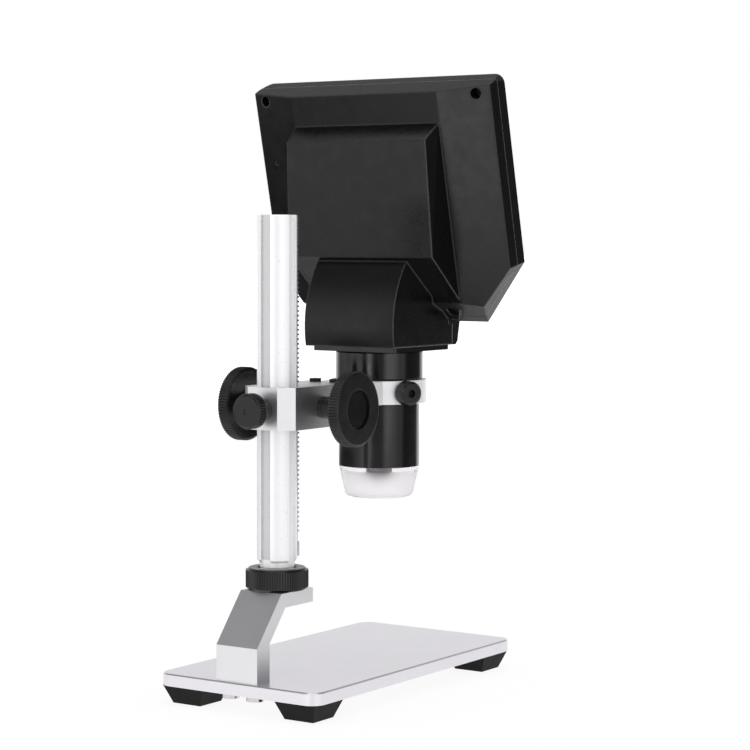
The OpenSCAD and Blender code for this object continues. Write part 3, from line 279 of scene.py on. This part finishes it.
def metal(name, rgb, rough, grain=0.00016, depth=0.3, stretch=(1, 1, 1), spread=0.05, speckle=0.0,
          metallic=1.0, corners=1.0, groove=None):
    """Bare metal with a blasted or drawn grain. stretch below 1 on an axis draws the grain along it,
    speckle darkens small pits, metallic below 1 is for an oxidised skin, and corners below 1 paints
    shade into inner corners. groove is the y of an upright axis, half a groove's width and a height:
    the groove behind the axis gets more painted shade above it."""
    g = Graph(name)
    colour = g.ramp(g.noise(CLOUDS, 4, stretch=stretch), shades(rgb, spread))
    lines = g.noise(1 / (4 * grain), stretch=stretch)
    roughness = g.remap(lines, *MIDDLE, rough - METAL_GLOSS, rough + METAL_GLOSS)
    normal = g.bump(g.noise(1 / grain, 2, 0.6, stretch), depth, METAL_DEPTH)
    if speckle:
        colour = g.dimmed(colour, g.remap(g.noise(PITS, 4, 0.7), *PITTED, 1, 1 - speckle))
    # Painted shade: inner corners and the column's back groove are darkened in the colour
    if corners < 1:
        shade = g.remap(g.open_sky(CORNER_REACH), *CORNER_OPEN, corners, 1)
        if groove:
            axis_y, half, foot = groove
            behind = g.away_from((0, axis_y, 0))
            inside = g.smooth(g.size(g.along("X", behind)), half, half + BLUR, GROOVE_SHADE, 0)
            back = g.smooth(g.along("Y", behind), *GROOVE_BACK)
            above = g.smooth(g.along("Z", behind), foot, foot + GROOVE_FOOT, 0, 1)
            shade = g.math("SUBTRACT", shade, g.times(inside, g.times(back, above)))
        colour = g.dimmed(colour, shade)
    g.shader(colour, roughness, normal, Metallic=metallic)
    return g.material


def glass(name, rgb, rough, ior=1.49, frost=None, clear=1.0, window=None):
    """Clear material. frost is two heights and a roughness: it is that rough below the first height
    and polished above the second. clear below 1 makes it milky. window is for a slanted pane: its
    way up, how far along that its middle lies, and half the width and height of its clear part.
    Round that it is printed black."""
    g = Graph(name)
    colour = g.ramp(g.noise(TINT_CLOUDS, 2), shades(rgb, TINT_SPREAD))
    smoothest = max(0, rough - GLASS_GLOSS)
    roughness = g.remap(g.noise(GLASS_PATCHES, 2), *MIDDLE, smoothest, rough + GLASS_GLOSS)
    if frost:
        low, high, frosted = frost
        roughness = g.math("MAXIMUM", roughness, g.remap(g.along("Z"), low, high, frosted, POLISHED))
    if window:
        way_up, middle, half_width, half_height = window
        aside = g.math("SUBTRACT", g.size(g.along("X")), half_width)
        off_middle = g.math("SUBTRACT", g.towards(way_up), middle)
        beyond_end = g.math("SUBTRACT", g.size(off_middle), half_height)
        printed = g.smooth(g.math("MAXIMUM", aside, beyond_end), 0, BLUR, 0, 1)
        colour = g.blend(printed, colour, INK)
        clear = g.times(g.math("SUBTRACT", 1.0, printed), clear)
    g.shader(colour, roughness, None, IOR=ior, Transmission_Weight=clear)
    return g.material


# ---------- materials ----------

SHELL = (0.0022, 0.0023, 0.0026)

# The housing's and the knobs' rounded edges carry a painted highlight
housing_black = plastic("housing_black", SHELL, rough=0.29, depth=0.05, specular=0.40, edge=0.0012,
                        painted_highlight_lift=36, waves=0.02)
bezel_black = plastic("bezel_black", SHELL, rough=0.3, depth=0.05, waves=0.05)
tube_black = plastic("tube_black", (0.003, 0.003, 0.0032), rough=0.17, grain=0.00018, depth=0.05,
                     waves=0.03)
knob_black = plastic("knob_black", (0.0035, 0.0035, 0.0037), rough=0.3, grain=0.0002, depth=0.12,
                     edge=0.0004)
nut_black = plastic("nut_black", (0.005, 0.005, 0.0053), rough=0.3, grain=0.0002, depth=0.15)
cap_black = plastic("cap_black", (0.002, 0.002, 0.0022), rough=0.24, grain=0.0002, depth=0.1,
                    spread=0.05, specular=0.38)
key_black = plastic("key_black", (0.028, 0.028, 0.03), rough=0.5, grain=0.00015)
rubber = plastic("rubber", (0.0055, 0.0055, 0.006), rough=0.6, grain=0.0004, depth=0.4, specular=0.2)
holder_black = plastic("holder_black", (0.02, 0.02, 0.02), rough=0.5)
nylon = plastic("nylon", (0.72, 0.72, 0.68), rough=0.45, spread=0.03)
board_green = plastic("board_green", (0.01, 0.11, 0.04), rough=0.3, grain=0.0006, spread=0.2)
cell_blue = plastic("cell_blue", (0.02, 0.12, 0.34), rough=0.25, grain=0.0005, spread=0.05)
film_amber = plastic("film_amber", (0.42, 0.16, 0.02), rough=0.3, spread=0.06)
lamp_resin = plastic("lamp_resin", (0.85, 0.82, 0.6), rough=0.2, spread=0.04)
sensor_dark = plastic("sensor_dark", (0.02, 0.02, 0.035), rough=0.08, depth=0.02, coat=1.0)
screen_dark = plastic("screen_dark", (0.004, 0.0045, 0.006), rough=0.12, depth=0.02, spread=0.1)

base_metal = metal("base_metal", (0.92, 0.90, 0.945), 0.34, grain=0.0001, depth=0.12, spread=0.012)
stand_metal = metal("stand_metal", (0.90, 0.895, 0.92), 0.38, grain=0.0001, depth=0.16, spread=0.02)
arm_metal = metal("arm_metal", (0.93, 0.93, 0.945), 0.45, grain=0.0001, depth=0.16, spread=0.02,
                  metallic=0.4)
column_metal = metal("column_metal", (0.9, 0.9, 0.915), 0.33, stretch=(1, 1, 0.02), depth=0.6,
                     speckle=0.25, metallic=0.2, corners=0.93, groove=(0.046, 0.0022, 0.0583))
rack_metal = metal("rack_metal", (0.78, 0.78, 0.79), 0.25, stretch=(0.1, 1, 1), depth=0.3)
plated = metal("plated", (0.74, 0.73, 0.71), 0.22, depth=0.15)
black_oxide = metal("black_oxide", (0.035, 0.035, 0.037), 0.38, depth=0.3, spread=0.2)

lens_glass = glass("lens_glass", (0.93, 0.96, 1.0), 0.01, 1.52)
cover_clear = glass("cover_clear", (0.97, 0.98, 1.0), 0.01, 1.5,
                    window=((0.0, 0.22835, 0.97358), 0.19639, 0.0493, 0.0288))
cap_clear = glass("cap_clear", (1.0, 0.985, 1.0), 0.03, 1.3, frost=(0.0876, 0.0888, 0.75), clear=0.93)

FINISH = {
    base_metal: ["base_plate"],
    stand_metal: ["bracket", "carriage"],
    arm_metal: ["holder_arm"],
    column_metal: ["column"],
    rack_metal: ["rack"],
    plated: ["foot_screws", "bracket_screws", "pinion_shaft", "battery_contacts", "usb_port", "card_slot"],
    black_oxide: ["knob_screws", "arm_screws", "case_screws"],
    rubber: ["rubber_feet"],
    nut_black: ["ring_nut"],
    cap_black: ["knob_caps"],
    knob_black: ["left_knob", "right_knob", "lock_screw", "ring_screw", "shaft_bushes"],
    nylon: ["lock_pad"],
    tube_black: ["barrel", "focus_ring", "neck_flange", "lens_carrier"],
    housing_black: ["rear_cover"],
    bezel_black: ["front_bezel"],
    key_black: ["key_1", "key_2", "key_3", "key_4", "key_5"],
    board_green: ["led_board", "sensor_board", "main_board", "key_board"],
    holder_black: ["battery_holder"],
    cell_blue: ["battery_cell"],
    film_amber: ["sensor_cable"],
    lamp_resin: ["led_lamps"],
    sensor_dark: ["image_sensor"],
    screen_dark: ["display_panel"],
    lens_glass: ["front_lens", "rear_lens"],
    cover_clear: ["cover_glass"],
    cap_clear: ["clear_cap"],
}
for material, names in FINISH.items():
    for name in names:
        slots = nodes[name].data.materials
        slots.clear()
        slots.append(material)

# ---------- the room, as reflections see it ----------

ROOM_BRIGHT = 0.95                  # level all round, low down
ROOM_TOP = 0.18                     # level overhead
LOW_DOWN = (0.15, 0.7, 1, 0)        # share of the first of them, by the direction's rise

# Stretches of the room: direction, the cosines between which each fades in, and its level. The
# lit side is added to the rest, and the panel is soft and stands high in front of the screen
DARK_SIDE = ((-0.669, -0.743, 0.0), (0.77, 0.90), 0.08)
NEAR_SIDE = ((-0.469, 0.883, 0.0), (0.925, 0.97), 0.27)
FAR_SIDE = ((0.978, 0.208, 0.0), (0.77, 0.93), 0.6)
LIT_SIDE = ((-0.940, 0.342, 0.0), (0.93, 0.985), 0.45)
PANEL = ((0.52, -0.52, 0.68), (0.70, 0.93), 0.30)


def stretch(g, part, outside, way=None):
    """A stretch of the room: its own level inside, and the level given outside it."""
    aim, cosines, inside = part
    return g.smooth(g.towards(aim, way), *cosines, outside, inside)


def room_level(g, way):
    """How bright the room is all round: white but for three darker stretches and a brighter one."""
    level = g.times(stretch(g, DARK_SIDE, ROOM_BRIGHT, way), stretch(g, NEAR_SIDE, 1, way),
                    stretch(g, FAR_SIDE, 1, way))
    return g.math("ADD", level, stretch(g, LIT_SIDE, 0, way))


def background(g, level=None):
    """White, or a grey of the level given."""
    b = g.add("ShaderNodeBackground")
    b.inputs["Color"].default_value = (1, 1, 1, 1)
    if level is not None:
        grey = g.add("ShaderNodeCombineColor")
        for slot in ("Red", "Green", "Blue"):
            g.link(level, grey.inputs[slot])
        g.link(grey.outputs["Color"], b.inputs["Color"])
    return b.outputs["Background"]


def mix_shaders(g, share, a, b):
    m = g.add("ShaderNodeMixShader")
    g.link(share, m.inputs["Fac"])
    g.link(a, m.inputs[1])
    g.link(b, m.inputs[2])
    return m.outputs["Shader"]


def straight_or_through(g, path):
    """1 for what the camera sees straight or through glass."""
    return g.math("MAXIMUM", path.outputs["Is Camera Ray"], path.outputs["Is Transmission Ray"])


# ---------- floor ----------

FLOOR_SIZE = 40

FLOOR_WHITE = (0.9, 0.9, 0.905)

# How much of the floor glows white, by the distance from the middle of the stand. Under the
# object the rest of it takes the shadow
FLOOR_GLOW = (0.12, 0.34, 0.90, 1)

# How bright reflections see the floor: painted light and shade in its glow, laid out by place
ACROSS = (0.05, 0.68, 1, 0.15)          # by X
LENGTHWISE = (0.28, 0.62, 0.62, 1.4)    # by the distance from the X axis
NEAR_STAND = (0.24, 0.42, 1.45, 1)      # painted lighter near the stand, by the distance from the middle of the stand, as the next two
ROOM_TAKES_OVER = (0.3, 0.9, 0, 1)      # share of the room's level
ACROSS_ENDS = (0.9, 1.5, 0, 1)          # where ACROSS ends
PAINTED_SPOTS = (((0.22, -0.24, 0.0), 0.25), ((0.08, 0.56, 0.0), 2.1))      # places and their levels: a painted shadow, then a painted pool of light
SPOT_FADE = (0.07, 0.26)                # distances over which a spot's level fades out

half = FLOOR_SIZE / 2
mesh = bpy.data.meshes.new("floor")
corners = [(-half, -half, 0), (half, -half, 0), (half, half, 0), (-half, half, 0)]
mesh.from_pydata(corners, [], [(0, 1, 2, 3)])
floor = bpy.data.objects.new("floor", mesh)
bpy.context.collection.objects.link(floor)

g = Graph("floor_white")
diffuse = g.add("ShaderNodeBsdfDiffuse")
g.link(g.ramp(g.noise(3, 2), shades(FLOOR_WHITE, 0.01)), diffuse.inputs["Color"])
distance = g.length(g.coords)
change = g.math("SUBTRACT", room_level(g, g.unit(g.coords)), 1.0)
room = g.math("ADD", 1.0, g.times(g.smooth(distance, *ROOM_TAKES_OVER), change))
across = g.math("MAXIMUM", g.smooth(g.along("X"), *ACROSS), g.smooth(distance, *ACROSS_ENDS))
lengthwise = g.smooth(g.size(g.along("Y")), *LENGTHWISE)
# Painted light and shade in the floor's glow for reflections, the two painted spots included
painted_floor_reflection = g.times(room, g.smooth(distance, *NEAR_STAND), across, lengthwise)
for spot, level in PAINTED_SPOTS:
    painted_floor_reflection = g.times(painted_floor_reflection, g.smooth(g.length(g.away_from(spot)), *SPOT_FADE, level, 1))
path = g.add("ShaderNodeLightPath")
straight = straight_or_through(g, path)
glow = g.add("ShaderNodeEmission")
g.link(g.math("MAXIMUM", painted_floor_reflection, straight), glow.inputs["Strength"])
seen = g.math("MAXIMUM", straight, path.outputs["Is Glossy Ray"])
share = g.times(seen, g.smooth(distance, *FLOOR_GLOW))
g.link(mix_shaders(g, share, diffuse.outputs["BSDF"], glow.outputs["Emission"]), g.out.inputs["Surface"])
floor.data.materials.append(g.material)

# ---------- surroundings ----------

# White all round for what is seen straight or through glass, and the room for reflections
world = bpy.data.worlds.new("studio")
bpy.context.scene.world = world
g = Graph("studio", world)
low_down = g.smooth(g.along("Z"), *LOW_DOWN)
low = g.times(room_level(g, g.coords), low_down)
high = g.times(g.math("SUBTRACT", 1.0, low_down), ROOM_TOP)
level = g.math("MAXIMUM", g.math("ADD", low, high), stretch(g, PANEL, 0))
path = g.add("ShaderNodeLightPath")
white = background(g)
lit = mix_shaders(g, path.outputs["Is Glossy Ray"], white, background(g, level))
g.link(mix_shaders(g, straight_or_through(g, path), lit, white), g.out.inputs["Surface"])


# ---------- lights ----------

def softbox(name, place, target, width, height, power):
    light = bpy.data.lights.new(name, "AREA")
    light.shape = "RECTANGLE"
    light.size = width
    light.size_y = height
    light.energy = power
    obj = bpy.data.objects.new(name, light)
    obj.location = place
    obj.rotation_mode = "QUATERNION"
    obj.rotation_quaternion = (Vector(target) - Vector(place)).to_track_quat("-Z", "Y")
    bpy.context.collection.objects.link(obj)


softbox("overhead", place=(0.1, -0.1, 1.5), target=(0, 0, 0.1), width=1.2, height=1.2, power=5)
softbox("front_box", place=(-0.19, 1.2, 0.42), target=(0, 0, 0.18), width=0.26, height=0.8, power=1.5)

# ---------- softened edges ----------

# Node, width of the rounding, its segments, and the angle in degrees from which an edge is rounded
SOFTENED = (
    ("rear_cover", 0.0009, 3, 24),
    ("front_bezel", 0.0004, 3, 24),
    ("bracket", 0.0004, 2, 24),
    ("carriage", 0.0003, 2, 24),
    ("holder_arm", 0.0003, 2, 24),
    ("rubber_feet", 0.0005, 2, 24),
    ("neck_flange", 0.0003, 2, 24),
    ("clear_cap", 0.0003, 2, 40),
)
for name, width, segments, angle in SOFTENED:
    m = nodes[name].modifiers.new("soften", "BEVEL")
    m.width = width
    m.segments = segments
    m.limit_method = "ANGLE"
    m.angle_limit = math.radians(angle)
